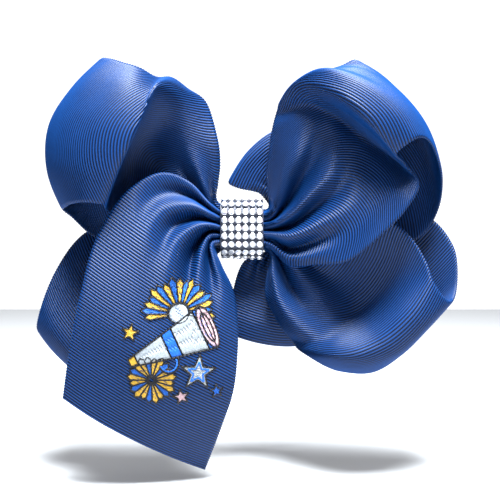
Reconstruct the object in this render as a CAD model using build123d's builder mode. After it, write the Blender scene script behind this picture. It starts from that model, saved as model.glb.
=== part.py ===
from build123d import *
import os
from math import pi, cos, sin

# Cheer hair bow on a sprung alligator clip. Millimetres.
# X runs along the bow's width, Z points up, the bow faces -Y. The origin lies in the clip's
# gripping plane, in line with the centre of the knot; hair is gripped at Y = 0.

os.makedirs("parts", exist_ok=True)

# ---- ribbon -------------------------------------------------------------------------------
cloth = 0.9                  # thickness the soft pieces are given here
patch_thick = 0.6            # thickness of the embroidered patch
knot_half = 9.6              # half width of the knot along X

# ---- knot ---------------------------------------------------------------------------------
stack_mid_y = -16.0          # middle of the gathered stack
tie_half_z = 10.0
tie_half_y = 8.0
tie_thick = 1.0
tie_width = 4.6
wrap_gap = 0.25
wrap_thick = 0.7
mesh_gap = 0.12
mesh_thick = 0.5
corner = 6.6                 # corner radius of the rhinestone mesh's outer face

# ---- rhinestones --------------------------------------------------------------------------
stone_r = 1.36
stone_crown = 0.62
stone_pavilion = 0.75
stone_pitch_x = 3.14
stone_pitch_s = 3.55
stone_cols = 6
stone_rows_each_way = 8
cup_r = 1.48
cup_wall = 0.16
cup_high = 1.05

# ---- clip ---------------------------------------------------------------------------------
sheet = 0.8
arm_half_z = 4.75
jaw_half_z = 3.5
pivot_x = 15.0
pivot_y = 0.0
pin_r = 0.90
hole_clear = 0.05
ear_r = 2.35
wire_r = 0.35
coil_r = 1.70
coil_turns = 4.5
coil_pitch = 0.80


def across_line(p):
    """Control points of the quartic curve through five points at even spacing."""
    c1 = (p[0] * -13 + p[1] * 48 - p[2] * 36 + p[3] * 16 - p[4] * 3) / 12
    c2 = (p[0] * 13 - p[1] * 64 + p[2] * 120 - p[3] * 64 + p[4] * 13) / 18
    c3 = (p[0] * -3 + p[1] * 16 - p[2] * 36 + p[3] * 48 - p[4] * 13) / 12
    return [p[0], c1, c2, c3, p[4]]


def skin_lines(net):
    """Control lines of a smooth skin: at each row, and a third of the way to its neighbours."""
    last = len(net) - 1
    gaps = []
    for i in range(last):
        gaps.append(sum((net[i + 1][j] - net[i][j]).length for j in range(5)) / 5)
    slopes = []
    for i in range(last + 1):
        line = []
        for j in range(5):
            before = (net[i][j] - net[i - 1][j]) / gaps[i - 1] if i > 0 else None
            after = (net[i + 1][j] - net[i][j]) / gaps[i] if i < last else None
            if before is None:
                line.append(after)
            elif after is None:
                line.append(before)
            else:
                line.append((before * gaps[i] + after * gaps[i - 1]) / (gaps[i] + gaps[i - 1]))
        slopes.append(line)
    spans = []
    for i in range(last):
        third = gaps[i] / 3
        ahead = [net[i][j] + slopes[i][j] * third for j in range(5)]
        behind = [net[i + 1][j] - slopes[i + 1][j] * third for j in range(5)]
        spans.append([across_line(line) for line in (net[i], ahead, behind, net[i + 1])])
    return spans


def ribbon_solid(rows, thick):
    """A strip through rows of five points, each row one line across the ribbon, made solid."""
    last = len(rows) - 1
    front = [[Vector(*p) for p in row] for row in rows]
    back = []
    for i in range(last + 1):
        line = []
        for j in range(5):
            along = front[min(i + 1, last)][j] - front[max(i - 1, 0)][j]
            across = front[i][min(j + 1, 4)] - front[i][max(j - 1, 0)]
            line.append(front[i][j] + along.cross(across).normalized() * thick)
        back.append(line)
    front_spans = skin_lines(front)
    back_spans = skin_lines(back)
    faces = []
    for near, far in zip(front_spans, back_spans):
        faces.append(Face.make_bezier_surface(near))
        faces.append(Face.make_bezier_surface(far))
        for j in (0, 4):
            side = [[line[j] for line in near], [line[j] for line in far]]
            faces.append(Face.make_bezier_surface(side))
    faces.append(Face.make_bezier_surface([front_spans[0][0], back_spans[0][0]]))
    faces.append(Face.make_bezier_surface([front_spans[-1][3], back_spans[-1][3]]))
    return Solid(Shell(faces))


def root_row(x, y, z0, z1):
    """Five points of the gathered root, spread over the knot's height."""
    return [(x, y, z0 + (z1 - z0) * k / 4) for k in range(5)]


# ---- front tail: the embroidered end of the ribbon, the front-most layer --------------------
tail_rows = [
    root_row(-0.6, -22.3, 7.2, -7.2),
    root_row(-5.0, -22.3, 7.3, -7.3),
    root_row(-9.0, -22.6, 7.5, -7.5),
    [(-13, -24, 10), (-13, -25, 5), (-13, -25, 0), (-13, -25, -5), (-12, -24, -8)],
    [(-23, -29, 20), (-23, -31, 12), (-21, -32, 3), (-17, -31, -9), (-9, -28, -17)],
    [(-34, -33, 24), (-34, -36, 14), (-30, -38, 1), (-21, -37, -14), (-4, -32, -27)],
    [(-47, -40, 17), (-44, -43, 6), (-36, -45, -8), (-23, -43, -24), (-2, -36, -40)],
    [(-60, -46, -3), (-53, -48, -13), (-41, -49, -26), (-25, -46, -40), (-2, -38, -56)],
    [(-67, -48, -28), (-56, -50, -37), (-42, -50, -48), (-25, -47, -60), (-4, -36, -72)],
    [(-72, -46, -51), (-59, -47, -60), (-44, -46, -70), (-28, -42, -80), (-10, -31, -90)],
    [(-76, -42, -73), (-62, -43, -82), (-47, -40, -91), (-32, -33, -100), (-17, -22, -109)],
]
with BuildPart() as front_tail:
    add(ribbon_solid(tail_rows, cloth))
front_tail.part.label = "front_tail"
export_step(front_tail.part, "parts/front_tail.step")

# ---- upper left loop ------------------------------------------------------------------------
upper_left_rows = [
    root_row(-0.6, -19.6, -8.2, 8.2),
    root_row(-6.0, -19.6, -8.4, 8.4),
    [(-12, -19, -7), (-12, -20, -2), (-12, -20, 3), (-12, -20, 8), (-11, -19, 12)],
    [(-24, -19, -3), (-23, -20, 6), (-20, -23, 13), (-15, -25, 18), (-11, -21, 20)],
    [(-36, -19, 0), (-35, -19, 12), (-29, -22, 22), (-18, -27, 27), (-10, -23, 29)],
    [(-46, -20, 3), (-45, -19, 18), (-38, -20, 31), (-24, -28, 38), (-11, -26, 40)],
    [(-53, -23, 5), (-52, -22, 22), (-44, -22, 38), (-29, -32, 50), (-16, -25, 56)],
    [(-58, -31, 7), (-56, -30, 24), (-48, -32, 41), (-34, -42, 57), (-24, -26, 62)],
    [(-58, -42, 8), (-54, -43, 25), (-46, -46, 41), (-37, -49, 57), (-31, -31, 66)],
    [(-57, -52, 9), (-50, -55, 25), (-44, -55, 39), (-39, -50, 54), (-37, -37, 65)],
    [(-63, -52, 10), (-58, -56, 26), (-53, -56, 42), (-47, -50, 57), (-43, -39, 68)],
    [(-71, -45, 10), (-70, -50, 27), (-66, -50, 44), (-59, -44, 60), (-51, -37, 71)],
    [(-76, -37, 9), (-80, -40, 27), (-78, -40, 45), (-70, -37, 61), (-58, -32, 74)],
    [(-79, -29, 8), (-86, -28, 26), (-85, -28, 45), (-75, -28, 61), (-62, -26, 75)],
    [(-76, -26, 5), (-81, -20, 24), (-79, -18, 42), (-69, -18, 58), (-56, -18, 70)],
    [(-66, -24, -4), (-68, -18, 14), (-65, -16, 31), (-57, -15, 46), (-44, -15, 58)],
    [(-48, -18, -8), (-49, -15.5, 6), (-46, -15, 20), (-40, -15, 32), (-30, -15, 42)],
    [(-31, -16.6, -9), (-31, -16, 0), (-29, -15.6, 9), (-26, -15.4, 18), (-22, -15.4, 26)],
    [(-20, -16.6, -9), (-20, -16.2, -2), (-19.5, -16, 5), (-18, -16, 11), (-15.5, -16, 16)],
    root_row(-12.0, -16.8, -8.6, 8.8),
    root_row(-6.0, -16.8, -8.4, 8.4),
    root_row(-0.6, -16.8, -8.2, 8.2),
]
with BuildPart() as upper_left_loop:
    add(ribbon_solid(upper_left_rows, cloth))
upper_left_loop.part.label = "upper_left_loop"
export_step(upper_left_loop.part, "parts/upper_left_loop.step")

# ---- lower left loop ------------------------------------------------------------------------
lower_left_rows = [
    root_row(-0.6, -14.2, 8.0, -8.0),
    root_row(-6.0, -14.2, 8.2, -8.2),
    [(-12, -14, 7), (-12, -14, 2), (-12, -14, -2), (-12, -14, -7), (-11, -14, -11)],
    [(-32, -13.4, 5), (-30, -13.6, -5), (-27, -15, -15), (-22, -15, -24), (-15, -15, -32)],
    [(-54, -13.5, 4), (-50, -15.5, -11), (-43, -18, -26), (-33, -19, -40), (-20, -18, -51)],
    [(-73, -18, -3), (-67, -23, -19), (-57, -27, -36), (-44, -27, -52), (-28, -25, -65)],
    [(-84, -24, -20), (-77, -28, -34), (-65, -31, -50), (-50, -31, -65), (-32, -28, -76)],
    [(-90, -24, -35), (-83, -28, -47), (-70, -30, -61), (-53, -29, -74), (-34, -27, -83)],
    [(-93, -19, -46), (-84, -20, -57), (-70, -20, -69), (-53, -20, -80), (-35, -19, -88)],
    [(-88, -13, -43), (-80, -12, -54), (-66, -11, -65), (-50, -11, -75), (-32, -12, -82)],
    [(-74, -10, -28), (-66, -10, -39), (-54, -10, -50), (-40, -10, -59), (-25, -10, -67)],
    [(-54, -10, -11), (-48, -10, -22), (-39, -10, -33), (-29, -10, -43), (-18, -10, -50)],
    [(-30, -10.6, 2), (-28, -10.6, -6), (-24, -10.6, -14), (-19, -10.6, -22), (-13, -10.8, -28)],
    root_row(-12.0, -11.5, 7.5, -8.6),
    root_row(-6.0, -11.6, 7.6, -8.4),
    root_row(-0.6, -11.6, 7.6, -8.4),
]
with BuildPart() as lower_left_loop:
    add(ribbon_solid(lower_left_rows, cloth))
lower_left_loop.part.label = "lower_left_loop"
export_step(lower_left_loop.part, "parts/lower_left_loop.step")

# ---- upper right loop -----------------------------------------------------------------------
upper_right_rows = [
    root_row(0.6, -22.3, -7.2, 7.2),
    root_row(5.0, -22.3, -7.3, 7.3),
    root_row(9.0, -22.5, -7.5, 7.6),
    [(13, -24, -9), (13, -24, -4), (13, -24, 1), (13, -24, 6), (12, -23, 9)],
    [(20, -27, -16), (21, -29, -5), (20, -28, 7), (16, -26, 14), (11.5, -23, 17)],
    [(33, -35, -16), (36, -36, -3), (31, -33, 13), (20, -29, 23), (11, -23, 26)],
    [(46, -42, -14), (49, -41, 2), (41, -36, 20), (25, -32, 32), (12, -23, 34)],
    [(58, -46, -4), (58, -42, 12), (47, -35, 28), (29, -33, 40), (13, -23, 41)],
    [(68, -47, 6), (64, -42, 20), (51, -32, 35), (32, -33, 47), (14, -23, 46)],
    [(75, -44, 17), (66, -36, 29), (51, -29, 42), (32, -31, 53), (15, -22, 50)],
    [(70, -42, 26), (59, -40, 38), (44, -36, 50), (26, -34, 58), (16, -22, 53)],
    [(64, -52, 30), (53, -54, 43), (39, -49, 56), (25, -37, 63), (18, -23, 57)],
    [(70, -54, 35), (60, -54, 48), (47, -50, 60), (33, -41, 67), (26, -27, 63)],
    [(76, -49, 37), (68, -48, 50), (57, -43, 61), (43, -37, 68), (35, -29, 68)],
    [(82, -42, 33), (77, -39, 47), (67, -35, 60), (54, -32, 69), (44, -27, 72)],
    [(88, -31, 22), (84, -29, 38), (75, -27, 53), (64, -26, 66), (51, -25, 75)],
    [(89, -22, 10), (86, -20, 27), (77, -20, 43), (65, -20, 57), (51, -20, 68)],
    [(79, -21, -5), (76, -19, 10), (68, -18, 26), (56, -18, 40), (42, -18, 50)],
    [(55, -20, -8), (54, -18.4, 4), (49, -17.6, 16), (42, -17.6, 26), (32, -17.6, 34)],
    [(30, -18, -9), (30, -17.4, -2), (29, -17.2, 6), (26, -17.2, 13), (22, -17.2, 20)],
    root_row(12.0, -17.3, -8.6, 9.0),
    root_row(6.0, -17.2, -8.2, 8.2),
    root_row(0.6, -17.2, -8.2, 8.2),
]
with BuildPart() as upper_right_loop:
    add(ribbon_solid(upper_right_rows, cloth))
upper_right_loop.part.label = "upper_right_loop"
export_step(upper_right_loop.part, "parts/upper_right_loop.step")

# ---- lower right loop -----------------------------------------------------------------------
lower_right_rows = [
    root_row(0.6, -19.8, 8.0, -8.0),
    root_row(6.0, -19.8, 8.2, -8.2),
    [(12, -20, 5), (12, -20, 1), (12, -20, -4), (12, -20, -8), (12, -19, -11)],
    [(26, -22, 4), (26, -22, -6), (22, -23, -14), (16, -24, -20), (11, -21, -23)],
    [(40, -26, 4), (39, -24, -10), (32, -23, -21), (20, -27, -30), (11, -21, -32)],
    [(54, -31, 3), (51, -25, -12), (40, -23, -26), (25, -30, -38), (14.5, -21, -39)],
    [(66, -35, 2), (61, -27, -14), (48, -22, -30), (30, -31, -44), (18, -22, -45)],
    [(74, -38, -6), (66, -30, -22), (52, -24, -37), (35, -32, -49), (22, -22, -50)],
    [(79, -40, -15), (69, -36, -29), (55, -32, -42), (39, -37, -52), (25, -25, -54)],
    [(82, -41, -24), (72, -44, -36), (59, -43, -48), (44, -41, -55), (30, -29, -57)],
    [(88, -37, -31), (78, -41, -42), (65, -41, -54), (50, -38, -60), (37, -29, -61)],
    [(93, -30, -32), (82, -33, -43), (70, -33, -55), (57, -32, -63), (43, -27, -63)],
    [(97, -22, -26), (86, -22, -38), (73, -23, -51), (60, -24, -61), (46, -24, -60)],
    [(97, -16, -8), (85, -15, -20), (71, -17, -33), (57, -19, -43), (43, -20, -47)],
    [(80, -14, 8), (68, -14, -4), (55, -15, -16), (43, -17, -27), (31, -18, -33)],
    [(50, -14, 6), (45, -14.4, -3), (38, -14.8, -12), (31, -15.4, -19), (22, -16, -24)],
    [(27, -14, 5), (26, -14.4, 0), (24, -14.4, -5), (21, -14.6, -11), (16, -14.8, -16)],
    root_row(12.0, -14.8, 7.0, -9.4),
    root_row(6.0, -14.7, 8.0, -8.4),
    root_row(0.6, -14.7, 8.0, -8.4),
]
with BuildPart() as lower_right_loop:
    add(ribbon_solid(lower_right_rows, cloth))
lower_right_loop.part.label = "lower_right_loop"
export_step(lower_right_loop.part, "parts/lower_right_loop.step")

# ---- rear loops: short loops of the back layer, one up and one down --------------------------
rear_upper_rows = [
    root_row(0.6, -12.2, 7.8, 1.0),
    root_row(6.0, -12.2, 8.0, 1.0),
    [(12, -12, 8), (12.5, -12, 6.5), (13, -12, 5), (13, -12, 3), (13, -12, 0)],
    [(9.5, -12, 16), (14, -13, 20), (20, -13, 18), (25, -13, 12), (28, -12, 4)],
    [(-2, -13, 19), (6, -14, 28), (18, -14, 31), (30, -14, 26), (38, -13, 15)],
    [(-6, -13, 21), (3, -14, 34), (16, -14, 42), (33, -14, 40), (45, -13, 27)],
    [(-6, -11, 22), (4, -12, 37), (17, -12, 46), (34, -12, 44), (48, -11, 31)],
    [(-3, -9, 20), (5, -9, 33), (16, -9, 41), (32, -9, 39), (45, -9, 27)],
    [(8, -9, 17), (13, -9, 22), (20, -9, 22), (27, -9, 18), (33, -9, 10)],
    [(12, -9.2, 8), (12.5, -9.2, 6.5), (13, -9.2, 5), (13, -9.2, 3), (13, -9.2, 0)],
    root_row(6.0, -9.4, 7.4, 1.0),
    root_row(0.6, -9.4, 7.2, 1.0),
]
with BuildPart() as rear_upper_loop:
    add(ribbon_solid(rear_upper_rows, cloth))
rear_upper_loop.part.label = "rear_upper_loop"
export_step(rear_upper_loop.part, "parts/rear_upper_loop.step")

rear_lower_rows = [
    root_row(0.6, -12.2, -7.8, -1.0),
    root_row(6.0, -12.2, -8.0, -1.0),
    [(12, -12, -9), (12.5, -12, -7.5), (13, -12, -6), (14, -12, -4), (14, -12, -1)],
    [(9, -12, -17), (13, -13, -19), (19, -13, -19), (24, -13, -15), (28, -12, -10)],
    [(-1, -13, -30), (9, -14, -33), (20, -15, -33), (30, -14, -29), (38, -13, -22)],
    [(-5, -14, -41), (8, -15, -45), (22, -16, -46), (35, -15, -42), (46, -13, -34)],
    [(-8, -12, -48), (9, -12, -53), (25, -12, -54), (40, -12, -50), (53, -11, -42)],
    [(-5, -9, -44), (9, -9, -48), (24, -9, -49), (37, -9, -45), (49, -9, -38)],
    [(4, -9, -27), (12, -9, -30), (21, -9, -30), (30, -9, -27), (38, -9, -21)],
    [(12, -9.2, -9), (12.5, -9.2, -7.5), (13, -9.2, -6), (14, -9.2, -4), (14, -9.2, -1)],
    root_row(6.0, -9.4, -7.4, -1.0),
    root_row(0.6, -9.4, -7.2, -1.0),
]
with BuildPart() as rear_lower_loop:
    add(ribbon_solid(rear_lower_rows, cloth))
rear_lower_loop.part.label = "rear_lower_loop"
export_step(rear_lower_loop.part, "parts/rear_lower_loop.step")

# ---- embroidery: a stitched motif on the tail, as one thin curved patch -----------------------
patch_rows = [
    [(-50, -51.6, -21), (-41, -52.6, -28), (-32, -52.2, -36), (-23, -50.4, -43), (-14, -47.4, -50)],
    [(-55, -53.0, -33), (-45, -53.9, -41), (-35, -53.2, -49), (-25, -50.9, -57), (-14, -46.4, -64)],
    [(-58, -52.2, -44), (-48, -52.8, -52), (-38, -51.4, -60), (-27, -48.4, -68), (-17, -43.2, -76)],
]
with BuildPart() as embroidery:
    add(ribbon_solid(patch_rows, patch_thick))
embroidery.part.label = "embroidery"
export_step(embroidery.part, "parts/embroidery.step")


# ---- knot: inner tie, ribbon wrap, rhinestone mesh --------------------------------------------
def knot_ring(half_z, half_y, thick, width, fillet_r):
    """A closed band round the stack: a rounded rectangle ring, extruded along X."""
    with BuildPart() as ring:
        with BuildSketch(Plane.YZ.offset(-width / 2)):
            with Locations((stack_mid_y, 0)):
                RectangleRounded(2 * (half_y + thick), 2 * (half_z + thick), fillet_r)
                RectangleRounded(2 * half_y, 2 * half_z, fillet_r - thick, mode=Mode.SUBTRACT)
        extrude(amount=width)
    return ring.part


with BuildPart() as inner_tie:
    add(knot_ring(tie_half_z, tie_half_y, tie_thick, tie_width, 4.5))
inner_tie.part.label = "inner_tie"
export_step(inner_tie.part, "parts/inner_tie.step")

wrap_half_z = tie_half_z + tie_thick + wrap_gap
wrap_half_y = tie_half_y + tie_thick + wrap_gap
with BuildPart() as knot_wrap:
    add(knot_ring(wrap_half_z, wrap_half_y, wrap_thick, 2 * knot_half, 5.9))
knot_wrap.part.label = "knot_wrap"
export_step(knot_wrap.part, "parts/knot_wrap.step")

mesh_half_z = wrap_half_z + wrap_thick + mesh_gap
mesh_half_y = wrap_half_y + wrap_thick + mesh_gap
with BuildPart() as stone_mesh:
    add(knot_ring(mesh_half_z, mesh_half_y, mesh_thick, 2 * knot_half, corner))
stone_mesh.part.label = "stone_mesh"
export_step(stone_mesh.part, "parts/stone_mesh.step")

outer_z = mesh_half_z + mesh_thick
outer_y = mesh_half_y + mesh_thick


def band_place(s):
    """Point and outward angle on the mesh's outer face, s measured from the front's middle."""
    sign = 1 if s >= 0 else -1
    left = abs(s)
    flat_z = outer_z - corner
    flat_y = 2 * (outer_y - corner)
    arc = corner * pi / 2
    if left <= flat_z:
        y, z, turn = -outer_y, left, 0.0
    elif left <= flat_z + arc:
        turn = (left - flat_z) / corner
        y = -(outer_y - corner) - corner * cos(turn)
        z = flat_z + corner * sin(turn)
    elif left <= flat_z + arc + flat_y:
        turn = pi / 2
        y = -(outer_y - corner) + (left - flat_z - arc)
        z = outer_z
    else:
        turn = pi / 2 + (left - flat_z - arc - flat_y) / corner
        y = (outer_y - corner) - corner * cos(turn)
        z = flat_z + corner * sin(turn)
    return stack_mid_y + y, sign * z, sign * turn


def stone_frames():
    """Frames of all the stones, local Z pointing out of the band."""
    frames = []
    for row in range(-stone_rows_each_way, stone_rows_each_way + 1):
        y, z, turn = band_place(row * stone_pitch_s)
        for col in range(stone_cols):
            x = (col - (stone_cols - 1) / 2) * stone_pitch_x
            out = Vector(0, -cos(turn), sin(turn))
            frames.append(Plane(origin=(x, y, z), x_dir=(1, 0, 0), z_dir=out))
    return frames


# one metal setting: a small cup with a base, cut to the stone's cone
with BuildPart() as cup:
    with BuildSketch(Plane.XZ):
        with BuildLine():
            Polyline((0, 0.04), (cup_r - 0.12, 0.04), (cup_r, 0.3), (cup_r, cup_high),
                     (cup_r - cup_wall * 0.55, cup_high + 0.05), (stone_r + 0.03, cup_high - 0.08),
                     (stone_r + 0.03, cup_high - 0.2), (0.3, 0.16), (0, 0.16), close=True)
        make_face()
    revolve(axis=Axis.Z)

with BuildPart() as stone_settings:
    with Locations([frame.location for frame in stone_frames()]):
        add(cup.part)
stone_settings.part.label = "stone_settings"
export_step(stone_settings.part, "parts/stone_settings.step")

# one rhinestone: eight-sided crown with a flat table, over a shallow cone
girdle = cup_high - 0.1
with BuildPart() as stone:
    with BuildSketch(Plane.XY.offset(girdle)):
        RegularPolygon(stone_r, 8, rotation=22.5)
    extrude(amount=stone_crown, taper=40)
    with BuildSketch(Plane.XY.offset(girdle)):
        RegularPolygon(stone_r, 8, rotation=22.5)
    extrude(amount=-stone_pavilion, taper=50)

with BuildPart() as rhinestones:
    with Locations([frame.location for frame in stone_frames()]):
        add(stone.part)
rhinestones.part.label = "rhinestones"
export_step(rhinestones.part, "parts/rhinestones.step")

# ---- clip ------------------------------------------------------------------------------------
back_of_knot = stack_mid_y + outer_y
arm_front_y = -4.1

with BuildPart() as glue_pad:
    with BuildSketch(Plane.XZ.offset(-(back_of_knot + 0.08))):
        RectangleRounded(16.0, 7.6, 2.4)
    extrude(amount=-(arm_front_y - 0.08 - back_of_knot - 0.08))
glue_pad.part.label = "glue_pad"
export_step(glue_pad.part, "parts/glue_pad.step")

# fixed arm: flat strip with a bent, toothed tip and two ears for the pin
with BuildPart() as clip_fixed_arm:
    with BuildSketch(Plane.XY.offset(-arm_half_z)):
        with BuildLine():
            Polyline((31, arm_front_y), (-23, arm_front_y), (-30.6, -1.05), (-32.4, -1.05),
                     (-32.4, -0.25), (-30.4, -0.25), (-22.8, arm_front_y + sheet),
                     (31, arm_front_y + sheet), close=True)
        make_face()
    extrude(amount=2 * arm_half_z)
    with BuildSketch(Plane.XY.offset(-arm_half_z)):
        with BuildLine():
            Polyline((pivot_x - 5.5, arm_front_y + 0.3), (pivot_x + 5.5, arm_front_y + 0.3),
                     (pivot_x + ear_r, pivot_y), (pivot_x - ear_r, pivot_y), close=True)
        make_face()
        with Locations((pivot_x, pivot_y)):
            Circle(ear_r)
    extrude(amount=sheet)
    with BuildSketch(Plane.XY.offset(arm_half_z - sheet)):
        with BuildLine():
            Polyline((pivot_x - 5.5, arm_front_y + 0.3), (pivot_x + 5.5, arm_front_y + 0.3),
                     (pivot_x + ear_r, pivot_y), (pivot_x - ear_r, pivot_y), close=True)
        make_face()
        with Locations((pivot_x, pivot_y)):
            Circle(ear_r)
    extrude(amount=sheet)
    with Locations(Plane.XY.offset(-arm_half_z - 1)):
        with Locations((pivot_x, pivot_y)):
            Cylinder(pin_r + 0.01, 2 * arm_half_z + 2, mode=Mode.SUBTRACT,
                     align=(Align.CENTER, Align.CENTER, Align.MIN))
    # notches of the tip
    for k in range(4):
        with Locations((-32.6, -0.65, -3.42 + 2.28 * k)):
            Box(1.5, 1.4, 1.14, mode=Mode.SUBTRACT)
clip_fixed_arm.part.label = "clip_fixed_arm"
export_step(clip_fixed_arm.part, "parts/clip_fixed_arm.step")

# moving jaw: narrower strip, bowed, with a finger lever and two inner ears
lever_y = 3.4
with BuildPart() as clip_moving_jaw:
    with BuildSketch(Plane.XY.offset(-jaw_half_z)):
        with BuildLine():
            Polyline((35.0, 9.6), (17.5, lever_y - 0.4), (11.0, lever_y - 0.4), (-8, 3.5), (-22.8, 3.1),
                     (-30.4, 0.25), (-32.4, 0.25), (-32.4, 1.05), (-30.6, 1.05), (-23, 3.9),
                     (-8, 4.3), (11.0, lever_y + 0.4), (17.3, lever_y + 0.4), (34.7, 10.4), close=True)
        make_face()
    extrude(amount=2 * jaw_half_z)
    for z0 in (-jaw_half_z, jaw_half_z - sheet):
        with BuildSketch(Plane.XY.offset(z0)):
            with BuildLine():
                Polyline((pivot_x - 4.0, lever_y + 0.1), (pivot_x + 2.6, lever_y + 0.1),
                         (pivot_x + ear_r, pivot_y), (pivot_x - ear_r, pivot_y), close=True)
            make_face()
            with Locations((pivot_x, pivot_y)):
                Circle(ear_r)
        extrude(amount=sheet)
    with Locations(Plane.XY.offset(-jaw_half_z - 1)):
        with Locations((pivot_x, pivot_y)):
            Cylinder(pin_r + hole_clear, 2 * jaw_half_z + 2, mode=Mode.SUBTRACT,
                     align=(Align.CENTER, Align.CENTER, Align.MIN))
    # notches of the tip, offset half a pitch from the fixed arm's
    for k in range(3):
        with Locations((-32.6, 0.65, -2.28 + 2.28 * k)):
            Box(1.5, 1.4, 1.14, mode=Mode.SUBTRACT)
clip_moving_jaw.part.label = "clip_moving_jaw"
export_step(clip_moving_jaw.part, "parts/clip_moving_jaw.step")

# pivot pin with a flattened head at each end
with BuildPart() as pivot_pin:
    with Locations((pivot_x, pivot_y, 0)):
        Cylinder(pin_r, 2 * arm_half_z + 0.3)
    for z1 in (-(arm_half_z + 0.45), arm_half_z + 0.45):
        with Locations((pivot_x, pivot_y, z1)):
            Cylinder(pin_r + 0.5, 0.7)
pivot_pin.part.label = "pivot_pin"
export_step(pivot_pin.part, "parts/pivot_pin.step")

# torsion spring: close coil round the pin, both legs towards the lever
half_len = coil_turns * coil_pitch / 2
coil_path = Helix(pitch=coil_pitch, height=coil_turns * coil_pitch, radius=coil_r)
with BuildPart() as coil:
    with BuildSketch(Plane(origin=coil_path @ 0, z_dir=coil_path % 0)):
        Circle(wire_r)
    sweep(path=coil_path)
with BuildPart() as jaw_spring:
    with Locations(Location((pivot_x, pivot_y, -half_len), (0, 0, 90))):
        add(coil.part)
    add(Solid.make_cylinder(wire_r, 6.6, Plane(origin=(pivot_x, coil_r, -half_len), z_dir=(6.5, 2.0, 0))))
    add(Solid.make_cylinder(wire_r, 6.2, Plane(origin=(pivot_x, -coil_r, half_len), z_dir=(6.5, -1.0, 0))))
jaw_spring.part.label = "jaw_spring"
export_step(jaw_spring.part, "parts/jaw_spring.step")

# ribbon lining glued along the fixed arm, facing the hair
with BuildPart() as clip_lining:
    with BuildSketch(Plane.XY.offset(-3.8)):
        with BuildLine():
            Polyline((8.0, arm_front_y + sheet + 0.05), (-22.6, arm_front_y + sheet + 0.05),
                     (-27.6, -1.25), (-27.5, -0.85), (-22.5, arm_front_y + sheet + 0.45),
                     (8.0, arm_front_y + sheet + 0.45), close=True)
        make_face()
    extrude(amount=7.6)
clip_lining.part.label = "clip_lining"
export_step(clip_lining.part, "parts/clip_lining.step")

# soft grip strip with cross ribs on the moving jaw
with BuildPart() as grip_strip:
    with BuildSketch(Plane.XY.offset(-2.6)):
        with BuildLine():
            Polyline((8.0, 2.55), (-8.0, 3.42), (-22.4, 3.02), (-22.3, 2.5), (-8.0, 2.95),
                     (8.0, 2.1), close=True)
        make_face()
    extrude(amount=5.2)
    for k in range(9):
        with Locations((-20.5 + 1.5 * k, 2.45 + 0.03 * k, 0)):
            Box(0.6, 0.5, 5.2)
grip_strip.part.label = "grip_strip"
export_step(grip_strip.part, "parts/grip_strip.step")

# lengthwise rib seam of hot glue that fixes the tail's root to the loop behind it
with BuildPart() as root_glue:
    with Locations((-7.2, -21.05, 0)):
        Box(3.0, 0.5, 12.0)
root_glue.part.label = "root_glue"
export_step(root_glue.part, "parts/root_glue.step")
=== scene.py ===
import bpy
import math
import numpy as np
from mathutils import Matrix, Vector
from mathutils.bvhtree import BVHTree


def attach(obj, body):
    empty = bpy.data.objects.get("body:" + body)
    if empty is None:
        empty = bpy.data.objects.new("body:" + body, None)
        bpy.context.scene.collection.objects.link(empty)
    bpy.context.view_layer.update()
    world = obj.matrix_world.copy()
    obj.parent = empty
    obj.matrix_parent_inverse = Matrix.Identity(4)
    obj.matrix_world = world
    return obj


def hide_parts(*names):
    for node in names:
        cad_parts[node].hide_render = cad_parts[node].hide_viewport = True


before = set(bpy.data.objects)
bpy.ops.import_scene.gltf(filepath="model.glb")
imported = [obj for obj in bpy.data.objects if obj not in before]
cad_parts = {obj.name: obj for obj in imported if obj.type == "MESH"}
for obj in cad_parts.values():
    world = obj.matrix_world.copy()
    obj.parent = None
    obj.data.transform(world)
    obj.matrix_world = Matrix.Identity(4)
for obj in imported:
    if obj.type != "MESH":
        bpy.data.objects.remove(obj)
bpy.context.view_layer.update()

MM = 0.001
RIB = 1.30            # rib pitch of the grosgrain, mm
PER_RIB = 4           # mesh rows on each rib
COLS = 61             # mesh columns across the ribbon
WIDTH = 75.0          # ribbon width, mm
CLOTH = 0.5           # ribbon thickness, mm
RIB_HIGH = 0.50       # height of a rib over the cloth on each side, mm
WARP = 0.42           # pitch of the fine warp lines, mm
KNOT_X = 9.8          # where the ribbons come out of the knot, mm
GATHER = 0.9          # height of the small gathers, mm
REAR_GATHER = 1.7     # the same on the rear loops


# ------------------------------------------------------------------------------------------
# ribbon shapes: rows across the ribbon, from the knot outwards (millimetres)
# ------------------------------------------------------------------------------------------
def root(x, y, z0, z1):
    """A row inside the knot: five points in line, from z0 to z1."""
    return [(x, y, z0 + (z1 - z0) * k / 4) for k in range(5)]


TAIL = [
    root(-0.6, -22.3, 7.2, -7.2),
    root(-5.0, -22.3, 7.3, -7.3),
    root(-9.0, -22.6, 7.5, -7.5),
    [(-13, -24, 10), (-13, -25, 5), (-13, -25, 0), (-13, -25, -5), (-12, -24, -8)],
    [(-23, -29, 20), (-23, -31, 12), (-21, -32, 3), (-17, -31, -9), (-9, -28, -17)],
    [(-34, -33, 24), (-34, -36, 14), (-30, -38, 1), (-21, -37, -14), (-4, -32, -27)],
    [(-47, -40, 17), (-44, -43, 6), (-36, -45, -8), (-23, -43, -24), (-2, -36, -40)],
    [(-60, -46, -3), (-53, -48, -13), (-41, -49, -26), (-25, -46, -40), (-2, -38, -56)],
    [(-67, -48, -28), (-56, -50, -37), (-42, -50, -48), (-25, -47, -60), (-4, -36, -72)],
    [(-72, -46, -51), (-59, -47, -60), (-44, -46, -70), (-28, -42, -80), (-10, -31, -90)],
    [(-76, -42, -73), (-62, -43, -82), (-47, -40, -91), (-32, -33, -100), (-17, -22, -109)],
]
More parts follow.
